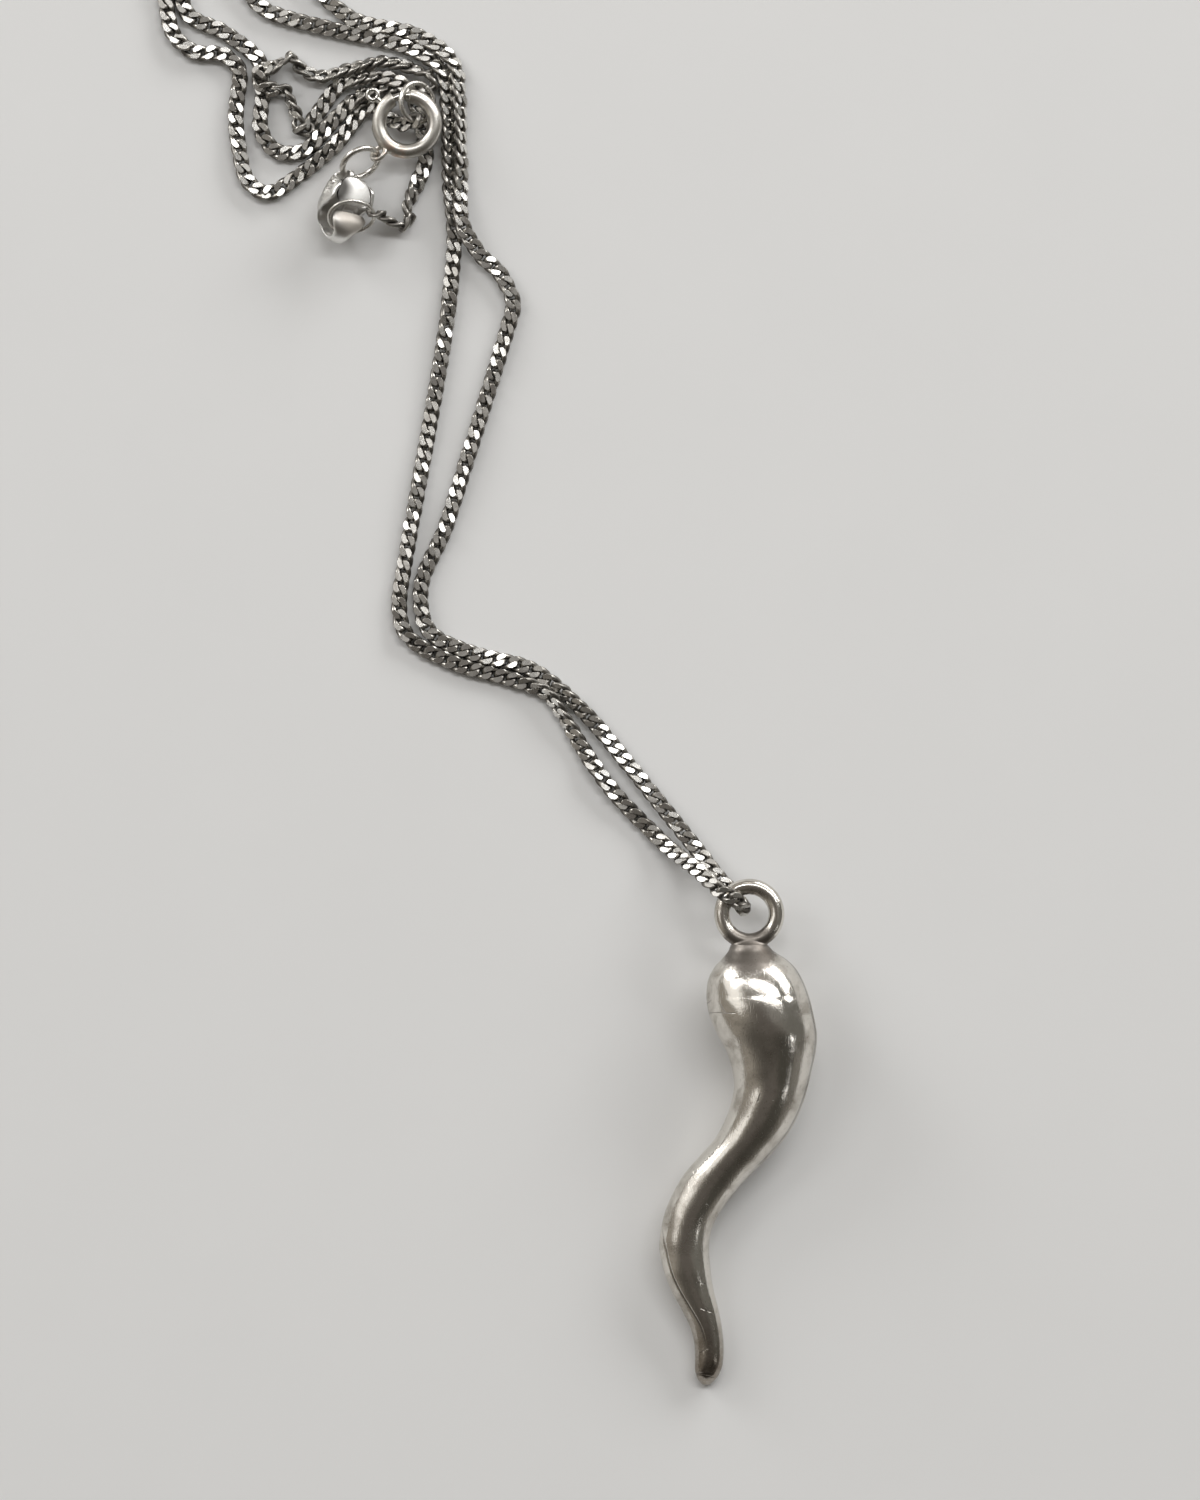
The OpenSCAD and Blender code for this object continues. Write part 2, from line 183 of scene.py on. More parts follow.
def makeTarnish():
    # grey-brown tarnish in clouds, thicker in small specks
    tree, entry, leave = newGroup("silverTarnish", [
        ("metal", "NodeSocketColor", (0.7, 0.7, 0.68, 1)), ("tarnish", "NodeSocketColor", (0.2, 0.18, 0.15, 1)),
        ("amount", "NodeSocketFloat", 0.3), ("cloudScale", "NodeSocketFloat", 400.0),
        ("speckScale", "NodeSocketFloat", 3000.0), ("polish", "NodeSocketFloat", 0.2),
        ("haze", "NodeSocketFloat", 0.2)],
        [("color", "NodeSocketColor"), ("roughness", "NodeSocketFloat")])
    where = whereOn(tree)
    clouds = noiseNode(tree, where, entry["cloudScale"], 4.0, 0.6, 0.4)
    specks = noiseNode(tree, where, entry["speckScale"], 2.0, 0.7)
    cloudMask = rangeNode(tree, clouds, *tarnishLook["cloudEdge"])
    speckMask = rangeNode(tree, specks, *tarnishLook["speckEdge"])
    both = plus(tree, times(tree, cloudMask, tarnishLook["cloudShare"]),
                times(tree, speckMask, tarnishLook["speckShare"]))
    mask = times(tree, both, entry["amount"], clamp=True)
    tree.links.new(mixColor(tree, mask, entry["metal"], entry["tarnish"]), leave["color"])
    haze = plus(tree, mask, times(tree, clouds, tarnishLook["cloudHaze"]))
    spread = times(tree, haze, entry["haze"])
    tree.links.new(plus(tree, entry["polish"], spread), leave["roughness"])
    return tree


handling = {
    "scratchSets": [  # turn in radians, and how finely the noise repeats along X, Y and Z
        ((0.2, 0.1, 0.5), (9000, 1300, 2300)),
        ((0.7, 0.3, 1.9), (6500, 1600, 1500)),
        ((0.1, 0.9, 2.7), (11000, 900, 1900)),
    ],
    "scratchEdge": (0.66, 0.78), "scratchDepth": -0.8,
    "dentScale": 550.0, "grainScale": 7500.0,
}


def makeHandling():
    # fine scratches of a worn piece: three sets of short thin lines, as a height, with dents and grain
    tree, entry, leave = newGroup("handlingMarks", [
        ("dents", "NodeSocketFloat", 0.5), ("grain", "NodeSocketFloat", 0.3)], [("height", "NodeSocketFloat")])
    where = whereOn(tree)
    total = None
    for turn, stretch in handling["scratchSets"]:
        place = addNode(tree, "ShaderNodeMapping")
        feed(tree, place.inputs["Vector"], where)
        place.inputs["Rotation"].default_value = turn
        place.inputs["Scale"].default_value = stretch
        lines = noiseNode(tree, place.outputs[0], 1.0, 0.0)
        cut = rangeNode(tree, lines, *handling["scratchEdge"], 0.0, handling["scratchDepth"])
        total = cut if total is None else plus(tree, total, cut)
    dents = noiseNode(tree, where, handling["dentScale"], 2.0, 0.45)
    grain = noiseNode(tree, where, handling["grainScale"], 2.0, 0.6)
    total = plus(tree, total, times(tree, grain, entry["grain"]))
    tree.links.new(plus(tree, total, times(tree, dents, entry["dents"])), leave["height"])
    return tree


markLook = {
    "wanderScale": 900.0, "wander": 0.00016,  # m, how far a scratch strays from its straight line
    "edge": (0.35, 1.0),  # share of its width at which it starts to fade and has gone
}


def makeMark():
    # one nearly straight scratch between two points, as a mask
    tree, entry, leave = newGroup("scratchMark", [
        ("start", "NodeSocketVector", None), ("end", "NodeSocketVector", None), ("width", "NodeSocketFloat", 0.0001)],
        [("mask", "NodeSocketFloat")])
    where = whereOn(tree)
    wander = addNode(tree, "ShaderNodeVectorMath", operation="SCALE")
    shake = addNode(tree, "ShaderNodeTexNoise")
    feed(tree, shake.inputs["Vector"], where)
    shake.inputs["Scale"].default_value = markLook["wanderScale"]
    feed(tree, wander.inputs[0], shake.outputs["Color"])
    wander.inputs["Scale"].default_value = markLook["wander"]

    def vector(operation, a, b):
        made = addNode(tree, "ShaderNodeVectorMath", operation=operation)
        feed(tree, made.inputs[0], a)
        feed(tree, made.inputs[1], b)
        return made

    moved = vector("ADD", where, wander.outputs[0]).outputs[0]
    flat = (1, 1, 0)  # seen from above, so that a scratch lies on whatever surface is there
    point = vector("MULTIPLY", vector("SUBTRACT", moved, entry["start"]).outputs[0], flat).outputs[0]
    way = vector("MULTIPLY", vector("SUBTRACT", entry["end"], entry["start"]).outputs[0], flat).outputs[0]
    share = mathNode(tree, "DIVIDE", vector("DOT_PRODUCT", point, way).outputs["Value"],
                     vector("DOT_PRODUCT", way, way).outputs["Value"], clamp=True)
    along = addNode(tree, "ShaderNodeVectorMath", operation="SCALE")
    feed(tree, along.inputs[0], way)
    feed(tree, along.inputs["Scale"], share)
    gap = vector("DISTANCE", point, along.outputs[0]).outputs["Value"]
    share = mathNode(tree, "DIVIDE", gap, entry["width"])
    tree.links.new(rangeNode(tree, share, *markLook["edge"], 1.0, 0.0), leave["mask"])
    return tree


tarnishGroup = makeTarnish()
handlingGroup = makeHandling()
markGroup = makeMark()


def silverMaterial(name, look, extra=None):
    material = bpy.data.materials.new(name)
    material.use_nodes = True
    tree = material.node_tree
    shader = tree.nodes["Principled BSDF"]
    shader.inputs["Metallic"].default_value = 1.0
    shader.inputs["IOR"].default_value = 1.5
    worn = placeGroup(tree, tarnishGroup, metal=look["metal"], tarnish=look["tarnish"], amount=look["amount"],
                      cloudScale=look["clouds"], speckScale=look["specks"], polish=look["polish"], haze=look["haze"])
    color, rough = worn["color"], worn["roughness"]
    height = placeGroup(tree, handlingGroup, dents=look.get("dents", 0.4), grain=look.get("grain", 1.0))["height"]
    if extra:
        color, rough, height = extra(tree, color, rough, height)
    tree.links.new(color, shader.inputs["Base Color"])
    tree.links.new(rough, shader.inputs["Roughness"])
    bump = addNode(tree, "ShaderNodeBump")
    bump.inputs["Distance"].default_value = look.get("bumpHeight", 0.0000015)  # m
    bump.inputs["Strength"].default_value = look["bump"]
    tree.links.new(height, bump.inputs["Height"])
    tree.links.new(bump.outputs[0], shader.inputs["Normal"])
    return material


def positionOf(tree):
    split = addNode(tree, "ShaderNodeSeparateXYZ")
    tree.links.new(whereOn(tree), split.inputs[0])
    return split.outputs


def flatDistance(tree, place, spot):
    # distance from a spot of the plan, given in mm, whatever the height
    away = [mathNode(tree, "SUBTRACT", place[axis], middle * mm) for axis, middle in zip("XY", spot)]
    squares = [times(tree, side, side) for side in away]
    return mathNode(tree, "SQRT", plus(tree, *squares))


print("shader groups ready")


# camera, at the photo's angle: nearly straight down, from a little below the picture

camera = {
    "target": (9.12, -22.45, 1.0),  # mm, what is at the middle of the picture
    "elevation": 86.0,
    "azimuth": 0.0,
    "lens": 200.0, "sensorHeight": 36,
    "pictureHeight": 120.0,  # mm, covered at the table
}


def makeCamera():
    data = bpy.data.cameras.new("camera")
    data.sensor_fit = "VERTICAL"
    data.sensor_height = camera["sensorHeight"]
    data.lens = camera["lens"]
    data.clip_start, data.clip_end = 0.005, 5
    obj = bpy.data.objects.new("camera", data)
    bpy.context.scene.collection.objects.link(obj)
    distance = camera["lens"] * camera["pictureHeight"] / camera["sensorHeight"] * mm
    rise, turn = math.radians(camera["elevation"]), math.radians(camera["azimuth"])
    target = Vector(camera["target"]) * mm
    away = Vector((math.sin(turn) * math.cos(rise), -math.cos(turn) * math.cos(rise), math.sin(rise)))
    obj.location = target + away * distance
    obj.rotation_euler = away.to_track_quat("Z", "Y").to_euler()
    bpy.context.scene.camera = obj


makeCamera()


# table and light

studio = {
    "table": (0.78, 0.78, 0.775), "mottle": 0.97,  # the darker tone of its mottling, as a share
    "tableRoughness": 0.85, "tableGloss": 0.2, "tableBump": 0.12, "tableSize": 4.0,  # m
    "softboxes": [
        # angle from overhead to the right and up the picture; width and height; turn, all in degrees; radiance
        ((-36, 28), (24, 5), 0, 8.0),     # long strip overhead, in two lengths
        ((13, 27), (50, 8), -6, 8.0),
        ((44, 55), (44, 17), -43, 7.5),   # window at the upper right
        ((-53, 50), (18, 22), 0, 7.0),    # window at the upper left
        ((-2, 56), (10, 6), 0, 3.0),      # lamp between them
        ((-50, 20), (54, 26), -41, 0.75),  # lit wall at the left
        ((50, -22), (4, 7), 0, 4.0),      # small lamp at the right
    ],
    "distance": 1.3, "aimedAt": (0.009, -0.03, 0),  # m
    "room": (0.21, 0.197, 0.178),
    "roomPatches": [  # angle to the right and up the picture, inner and outer size in degrees, colour
        ((-60, -8), 22, 52, (0.30, 0.275, 0.24)),
        ((0, 78), 20, 55, (0.34, 0.32, 0.29)),
        ((62, 12), 18, 42, (0.15, 0.145, 0.13)),
        ((3, -52), 28, 60, (0.085, 0.077, 0.067)),
        ((3, -8), 8, 30, (0.115, 0.103, 0.092)),
        ((20, 4), 3, 11, (0.21, 0.20, 0.185)),
        ((34, -38), 10, 27, (0.062, 0.058, 0.049)),
    ],
}


def overhead(angle):
    # direction that lies so many degrees to the right of overhead and so many up the picture
    away = math.hypot(*angle)
    turn = math.atan2(angle[1], angle[0])
    rise = math.radians(away)
    return Vector((math.sin(rise) * math.cos(turn), math.sin(rise) * math.sin(turn), math.cos(rise)))


def makeStudio():
    mesh = bpy.data.meshes.new("table")
    half = studio["tableSize"] / 2
    corners = [(-half, -half, 0), (half, -half, 0), (half, half, 0), (-half, half, 0)]
    mesh.from_pydata(corners, [], [(0, 1, 2, 3)])
    table = bpy.data.objects.new("table", mesh)
    bpy.context.scene.collection.objects.link(table)
    material = bpy.data.materials.new("paleCard")
    material.use_nodes = True
    tree = material.node_tree
    shader = tree.nodes["Principled BSDF"]
    shader.inputs["Roughness"].default_value = studio["tableRoughness"]
    shader.inputs["Specular IOR Level"].default_value = studio["tableGloss"]
    where = whereOn(tree)
    mottle = noiseNode(tree, where, 60.0, 3.0, 0.6)
    base = (*studio["table"], 1)
    darker = tuple(c * studio["mottle"] for c in studio["table"]) + (1,)
    tree.links.new(mixColor(tree, mottle, darker, base), shader.inputs["Base Color"])
    bump = addNode(tree, "ShaderNodeBump")
    bump.inputs["Strength"].default_value = studio["tableBump"]
    bump.inputs["Distance"].default_value = 0.00003  # m
    tree.links.new(noiseNode(tree, where, 2500.0, 3.0, 0.6), bump.inputs["Height"])
    tree.links.new(bump.outputs[0], shader.inputs["Normal"])
    mesh.materials.append(material)

    world = bpy.data.worlds.new("room")
    bpy.context.scene.world = world
    world.use_nodes = True
    tree = world.node_tree
    where = addNode(tree, "ShaderNodeTexCoord").outputs["Generated"]
    color = (*studio["room"], 1)
    for angle, inner, outer, tint in studio["roomPatches"]:
        facing = addNode(tree, "ShaderNodeVectorMath", operation="DOT_PRODUCT")
        feed(tree, facing.inputs[0], where)
        facing.inputs[1].default_value = overhead(angle)
        low, high = (math.cos(math.radians(size)) for size in (outer, inner))
        mask = rangeNode(tree, facing.outputs["Value"], low, high)
        color = mixColor(tree, mask, color, (*tint, 1))
    tree.links.new(color, tree.nodes["Background"].inputs["Color"])
    for i, (angle, size, turn, radiance) in enumerate(studio["softboxes"]):
        light = bpy.data.lights.new("softbox%d" % (i + 1), "AREA")
        light.shape = "RECTANGLE"
        light.size, light.size_y = (2 * studio["distance"] * math.tan(math.radians(s / 2)) for s in size)
        light.energy = radiance * math.pi * light.size * light.size_y
        obj = bpy.data.objects.new(light.name, light)
        bpy.context.scene.collection.objects.link(obj)
        away = overhead(angle)
        side = Vector((math.cos(math.radians(turn)), math.sin(math.radians(turn)), 0))
        side = (side - away * side.dot(away)).normalized()
        obj.location = away * studio["distance"] + Vector(studio["aimedAt"])
        obj.rotation_euler = Matrix((side, away.cross(side), away)).transposed().to_euler()


makeStudio()
bpy.context.scene.view_settings.view_transform = "Standard"
print("camera, table and light ready")


# curves through given rows

def smoothRows(rows, steps):
    rows = [np.array(r, float) for r in rows]
    rows = [2 * rows[0] - rows[1]] + rows + [2 * rows[-1] - rows[-2]]
    out = []
    for i in range(1, len(rows) - 2):
        a, b, c, d = rows[i - 1:i + 3]
        for k in range(steps):
            t = k / steps
            bend, twist = 2 * a - 5 * b + 4 * c - d, 3 * b - a - 3 * c + d
            out.append(0.5 * (2 * b + (c - a) * t + bend * t * t + twist * t ** 3))
    out.append(rows[-2])
    return out


# horn: the same rows as the solid's, drawn finer, with its solder seam and small dents

horn = {
    "length": 35.0, "width": 8.3, "depth": 7.0, "sway": 6.9,  # mm
    "eyeAt": (21.0, -35.7, 3.55), "eyeRadius": 2.17, "eyeWire": 0.63,
    "shoulder": -38.2,
    "sides": 240, "steps": 8, "tipShares": (0.8, 0.55, 0.25), "tipLength": 0.004,
    "seamDepth": 0.05, "dentDepth": 0.012,  # mm
    "metal": (0.77, 0.74, 0.685, 1), "tarnish": (0.26, 0.226, 0.183, 1), "amount": 0.85,
    "clouds": 430.0, "specks": 4600.0, "polish": 0.10, "haze": 0.22,
    "bump": 0.55, "bumpHeight": 0.000005, "dents": 1.6, "grain": 2.2,
    "neckAt": (21.0, -38.5), "neckReach": (0.0008, 0.0036), "neckTint": (0.11, 0.092, 0.078, 1),  # mm; m
    # tip: painted dark reflection over the last of the tip
    "tipReach": (-0.0720, -0.0655), "tipPaintedReflection": (0.20, 0.165, 0.13, 1),  # m along Y
    "markTint": (0.05, 0.042, 0.035, 1), "markAmount": 0.55, "markDepth": 4.0,
}
hornRows = [  # along, sway, width, depth, as shares
    (0.000, 0.00, 0.36, 0.38), (0.014, 0.02, 0.44, 0.44), (0.030, 0.05, 0.60, 0.58),
    (0.050, 0.06, 0.77, 0.74), (0.080, 0.07, 0.91, 0.89), (0.120, 0.10, 0.99, 0.98),
    (0.160, 0.14, 1.00, 1.00), (0.200, 0.20, 0.96, 0.98), (0.240, 0.25, 0.86, 0.92),
    (0.280, 0.26, 0.77, 0.86), (0.320, 0.25, 0.71, 0.81), (0.360, 0.20, 0.69, 0.78),
    (0.400, 0.12, 0.68, 0.74), (0.440, 0.00, 0.67, 0.69), (0.480, -0.18, 0.67, 0.64),
    (0.520, -0.37, 0.64, 0.60), (0.560, -0.52, 0.59, 0.57), (0.600, -0.64, 0.54, 0.55),
    (0.640, -0.72, 0.49, 0.53), (0.685, -0.75, 0.48, 0.51), (0.735, -0.72, 0.455, 0.48),
    (0.780, -0.66, 0.41, 0.43), (0.825, -0.57, 0.355, 0.38), (0.865, -0.50, 0.305, 0.34),
    (0.905, -0.465, 0.28, 0.31), (0.945, -0.465, 0.27, 0.29), (0.968, -0.48, 0.24, 0.25),
    (0.985, -0.49, 0.17, 0.18), (0.996, -0.495, 0.08, 0.10),
]


def hornMid(row):
    along, sway, width, depth = row
    lift = horn["eyeAt"][2] - along if along < 0.2 else 0
    z = max(depth * horn["depth"] / 2, lift)
    return Vector((horn["eyeAt"][0] + sway * horn["sway"], horn["shoulder"] - along * horn["length"], z))


def blendStep(value, low, high):
    t = min(max((value - low) / (high - low), 0), 1)
    return t * t * (3 - 2 * t)


# where the solder seam shows: along, angle round the horn
seamRight = [(0.0, 12), (0.3, 13), (0.45, 20), (0.52, 20)]
seamLeft = [
    (0.64, 168), (0.66, 150), (0.69, 137), (0.75, 132), (0.80, 124), (0.824, 119), (0.863, 108), (0.91, 100),
]
seamWidth = {"right": 4.5, "left": 1.9}  # degrees
tipFold = {"along": 0.9735, "slant": 0.003, "width": 0.0022, "angle": 130}  # across the tip, at its left


def turnBetween(angle, middle):
    return (angle - middle + 180) % 360 - 180


def seamMask(along, angle):
    strength = 0
    for seam, width in ((seamRight, seamWidth["right"]), (seamLeft, seamWidth["left"])):
        start, end = seam[0][0], seam[-1][0]
        middle = np.interp(along, [s[0] for s in seam], [s[1] for s in seam])
        fade = blendStep(along, start - 0.01, start + 0.02) * (1 - blendStep(along, end - 0.04, end))
        strength = max(strength, fade * math.exp(-(turnBetween(angle, middle) / width) ** 2))
    across = along - tipFold["along"] + tipFold["slant"] * math.sin(math.radians(angle))
    fold = math.exp(-(across / tipFold["width"]) ** 2)
    return max(strength, fold * blendStep(abs(turnBetween(angle, tipFold["angle"])), 75, 40))


def hornPoint(row, angle):
    along, sway, width, depth = row
    direction = Vector((width * horn["width"] / 2 * math.cos(math.radians(angle)), 0,
                        depth * horn["depth"] / 2 * math.sin(math.radians(angle))))
    point = hornMid(row) + direction
    dent = noise.noise(point * 0.32) * horn["dentDepth"] + noise.noise(point * 0.9) * horn["dentDepth"] * 0.3
    inward = seamMask(along, angle) * horn["seamDepth"] + dent * blendStep(along, 0.0, 0.05)
    return (point - direction.normalized() * inward) * mm


def makeHorn():
    rows = smoothRows(hornRows, horn["steps"])
    turns = [360 * k / horn["sides"] for k in range(horn["sides"])]
    grid = [[hornPoint(row, angle) for angle in turns] for row in rows]
    tip = rows[-1]
    for share in horn["tipShares"]:  # rounds the blunt end over
        extra = tip.copy()
        extra[0] = tip[0] + horn["tipLength"] * (1 - share)
        extra[2] *= share
        extra[3] *= share
        grid.append([hornPoint(extra, angle) for angle in turns])
    mesh = meshFromGrid("hornBody", grid)
    seam = [seamMask(row[0], angle) for row in rows for angle in turns]
    seam += [0.0] * (len(horn["tipShares"]) * horn["sides"])
    mesh.attributes.new("seam", "FLOAT", "POINT").data.foreach_set("value", seam)
    return mesh


def circle(sides, direction=1):
    return [direction * 2 * math.pi * k / sides for k in range(sides)]


def joined(name, meshes):
    made = bmesh.new()
    for mesh in meshes:
        made.from_mesh(mesh)
    out = bpy.data.meshes.new(name)
    made.to_mesh(out)
    made.free()
    out.shade_smooth()
    return out


# the neck, a short waist of solder between the eye and the horn's shoulder: Y, half width, half depth, mm
neckRows = [
    (-37.45, 0.95, 0.50), (-37.75, 1.28, 0.56), (-38.05, 1.42, 0.74),
    (-38.35, 1.46, 1.02), (-38.75, 1.58, 1.30), (-39.1, 2.0, 1.6),
]


def makeEye():
    (x, _, z), wire = horn["eyeAt"], horn["eyeWire"]
    rows = []
    for a in circle(96):
        out = Vector((math.cos(a), math.sin(a), 0))
        rows.append([(out * (horn["eyeRadius"] + wire * math.cos(b)) + Vector((0, 0, wire * math.sin(b)))) * mm
                     for b in circle(24)])
    eye = meshFromGrid("eye", rows, closedAlong=True)
    eye.transform(Matrix.Translation(Vector(horn["eyeAt"]) * mm))
    neck = meshFromGrid("neck", [[Vector((x + half * math.cos(a), y, z + deep * math.sin(a))) * mm
                                  for a in circle(40)] for y, half, deep in neckRows])
    return softened(joined("hornEye", [eye, neck]), 0.05, 6)


hornMarks = [  # scratches and nicks: from, to, width, mm
    ((17.6, -43.5), (19.9, -43.65), 0.045), ((18.6, -42.7), (19.1, -43.5), 0.05),
    ((21.7, -42.8), (22.3, -42.2), 0.05), ((16.9, -64.9), (17.6, -65.0), 0.05),
    ((17.2, -67.0), (18.0, -67.25), 0.045), ((17.1, -70.5), (17.8, -70.1), 0.05),
    ((21.9, -50.0), (21.7, -50.6), 0.06), ((18.0, -42.6), (17.5, -42.9), 0.045),
    ((16.9, -72.2), (18.2, -72.4), 0.07),
]


def hornExtras(tree, color, rough, height):
    place = positionOf(tree)
    # tarnish gathers round the neck, and thins out into specks
    specks = noiseNode(tree, whereOn(tree), 3600.0, 3.0, 0.7)
    near = rangeNode(tree, flatDistance(tree, place, horn["neckAt"]), *horn["neckReach"], 0.9, 0.0)
    neck = rangeNode(tree, plus(tree, near, times(tree, specks, 0.7)), 0.62, 0.95)
    color = mixColor(tree, times(tree, neck, 0.8), color, horn["neckTint"])
    # painted dark reflection: the last of the tip is painted darker brown, in patches
    tip = times(tree, rangeNode(tree, place["Y"], *horn["tipReach"], 1.0, 0.0),
                rangeNode(tree, specks, 0.2, 0.6, 0.45, 0.8))
    color = mixColor(tree, tip, color, horn["tipPaintedReflection"])
    rough = plus(tree, rough, times(tree, neck, 0.22))
    # seam, scratches and nicks are dark and cut in
    marks = addNode(tree, "ShaderNodeAttribute", attribute_name="seam").outputs["Fac"]
    for start, end, width in hornMarks:
        start, end = (tuple(v * mm for v in point) + (0,) for point in (start, end))
        mask = placeGroup(tree, markGroup, start=start, end=end, width=width * mm)["mask"]
        marks = mathNode(tree, "MAXIMUM", marks, mask)
    color = mixColor(tree, times(tree, marks, horn["markAmount"]), color, horn["markTint"])
    height = mathNode(tree, "SUBTRACT", height, times(tree, marks, horn["markDepth"]))
    return color, rough, height


hornSilver = silverMaterial("hornSilver", horn, hornExtras)
hornBody = addObject("hornBody", makeHorn(), replaced=["horn"])
hornBody.data.materials.append(hornSilver)
hornEye = addObject("hornEye", makeEye())
hornEye.data.materials.append(hornSilver)
print("horn:", len(hornBody.data.polygons), "faces; eye:", len(hornEye.data.polygons))


# chain: curb links, every one a closed twisted oval with its top and bottom cut flat

chain = {
    "pitch": 1.0, "length": 0.73, "width": 0.43, "twist": 0.23, "wire": 0.225,  # mm, half sizes of the wire's line
    "cut": 0.31,  # mm, height of the cut above the middle
    "lift": 0.02, "edgeLift": 0.07,  # mm, so that the links rest on the table, flat or on edge
    "turns": 28, "sides": 9,
    "slowRoll": 13.0, "slowLength": 6.0, "slowSeed": 3.7, "seed": 12,
    "jitterRoll": 7.0, "jitterTurn": 3.0, "jitterPitch": 4.5,  # degrees
    "reach": 0.42,  # mm before and after its middle, which give a link its direction
    "bendReach": 1.2,  # how far a bend reaches along a straight run, as a share of its shorter neighbour
    # gap: painted shade, darkening the wire towards its middle height, between the links
    "gapShadeTint": (0.035, 0.03, 0.026, 1), "gapShadeAmount": 0.7, "gapPower": 1.5,
    "metal": (0.56, 0.54, 0.50, 1), "tarnish": (0.11, 0.095, 0.075, 1), "amount": 0.9,
    "clouds": 900.0, "specks": 6000.0, "polish": 0.22, "haze": 0.25, "bump": 0.5,
}
chainCut = {
    "metal": (0.82, 0.81, 0.78, 1), "tarnish": (0.34, 0.31, 0.27, 1), "amount": 0.75,
    "clouds": 900.0, "specks": 6000.0, "polish": 0.20, "haze": 0.22, "bump": 0.8,
}


def routeFromSolid():
    return [
        # from the jump ring on the bolt ring, down to the table
        (-6.7, 27.9, 1.55, 0), (-7.9, 28.5, 0.75, 0), (-9.1, 29.5, 0.3, 0),
        # lower side of the heap, then the outer left loop
        (-10.2, 28.9, 0.3, 0), (-12.1, 26.5, 0.3, 0), (-15, 24, 0.3, 0), (-17.6, 22.5, 0.3, 0),
        (-19.4, 23.8, 0.3, 0), (-20.2, 28.4, 0.3, 0), (-19.9, 32.3, 0.3, 0), (-21.2, 33.7, 0.3, 0),
        (-23.7, 34, 0.3, 0), (-25.5, 36, 0.3, 0),
        # outer loop round the neck, which the photo cuts off
        (-26.4, 44, 0.3, 0), (-25.8, 56, 0.3, 0), (-23.3, 68.4, 0.3, 0), (-19.3, 72.5, 0.3, 0),
        (-14.9, 67.6, 0.3, 0), (-13.4, 55.2, 0.3, 0), (-15.5, 42.4, 0.3, 0),
        # right-hand strand, down to the pendant
        (-11.3, 36.9, 0.3, 0), (-5.9, 35.4, 0.3, 0), (-2.8, 33.2, 0.42, -35), (-2.2, 30, 0.5, -40),
        (-2.1, 24.8, 0.5, -40), (-2, 20.2, 1, 0), (-0.6, 17.6, 0.55, 0), (1.2, 15.8, 0.3, 0),
        (2.1, 13, 0.3, 0), (-3.2, -4.3, 0.3, 0), (-5.2, -9.1, 0.3, 0),
        (-4.6, -12.8, 0.3, 0), (-1.2, -14.6, 0.3, 0), (3.3, -15.8, 0.3, 0), (6.2, -17.8, 0.5, 45),
        (9.3, -21, 0.3, 0), (17, -30.6, 0.9, 0),
        # under the rim of the eye, up through it and back over the rim
        (18.4, -32.5, 1.9, 0), (19.7, -34, 2.35, 0), (20.6, -35.3, 3.4, 0), (19.9, -34.6, 4.5, 0),
        (18.6, -33.9, 4.75, 0),
        # left-hand strand, back up
        (16.9, -32.2, 3, 0), (14.1, -29.8, 0.4, 0), (9.4, -24.8, 0.3, 0),
        (5.2, -18.2, 0.5, -45), (2.3, -16.8, 0.3, 0), (-2.6, -15.4, 0.3, 0), (-6.4, -13.1, 0.3, 0),
        (-6.9, -9.6, 0.3, 0), (-3.5, 10, 0.3, 0), (-2.6, 18.4, 0.3, 0), (-3, 23.6, 0.4, 30),
        (-3.2, 30, 0.45, 40), (-3.8, 32.6, 0.42, 35), (-6.9, 34.5, 0.3, 0),
        # inner loop round the neck, which the photo cuts off
        (-17.9, 37.4, 0.3, 0), (-20, 42.4, 0.3, 0), (-16.8, 52.8, 0.3, 0), (-16.3, 63.2, 0.3, 0),
        (-19.4, 69.4, 0.3, 0), (-22.6, 64, 0.3, 0), (-24.5, 52.8, 0.3, 0), (-25, 42.4, 0.3, 0),
        # inner left loop, then the middle of the heap
        (-24.2, 37.2, 0.3, 0), (-21.1, 35.5, 0.3, 0), (-18.4, 33.3, 0.3, 0), (-18, 30.9, 0.3, 0),
        (-18.2, 27.8, 0.3, 0), (-16.9, 25.9, 0.3, 0), (-14.6, 26, 0.3, 0), (-12.5, 28.2, 0.3, 0),
        (-10.4, 30.2, 0.4, -30), (-8.5, 30.9, 0.45, -40),
        # turn beside the bolt ring, and back along the top of the heap
        (-6.5, 31, 0.3, 0), (-4.8, 30.8, 0.5, -50), (-4.4, 31.6, 0.6, -90), (-5.5, 32.4, 0.5, -130),
        (-8.6, 33.1, 0.5, -130), (-13.1, 31.9, 0.4, -160),
        # tangle over the inner left loop
        (-14.6, 32.3, 0.45, -150), (-15.7, 33.4, 0.6, -110), (-16.8, 32.8, 1, -150),
        (-18.3, 32.1, 1.05, -180), (-17.9, 31, 1.05, -180), (-16.2, 30.7, 0.7, -120),
        (-14.9, 27.6, 0.6, -120),
        # upper side of the heap, under the bolt ring and down to the clasp
        (-14, 28.4, 0.4, -150), (-13.1, 29.7, 0.3, -180), (-11.8, 31.2, 0.4, -210),
        (-9.6, 31.8, 0.5, -230), (-7.3, 31.5, 0.9, -195), (-6.1, 30.4, 1.15, -180),
        (-5.4, 28.6, 0.5, -180), (-4.9, 25.4, 0.3, -180), (-5.7, 23, 0.44, -210), (-6.3, 21.5, 0.57, -240),
        # standing on its edge, round a sharp corner and up to the oval ring
        (-6.4, 20.7, 0.58, -270), (-6.3, 20.1, 0.6, -270), (-6.9, 19.9, 0.7, -270), (-7.8, 20.2, 1.1, -270),
        (-8.6, 20.6, 1.65, -270),
    ]


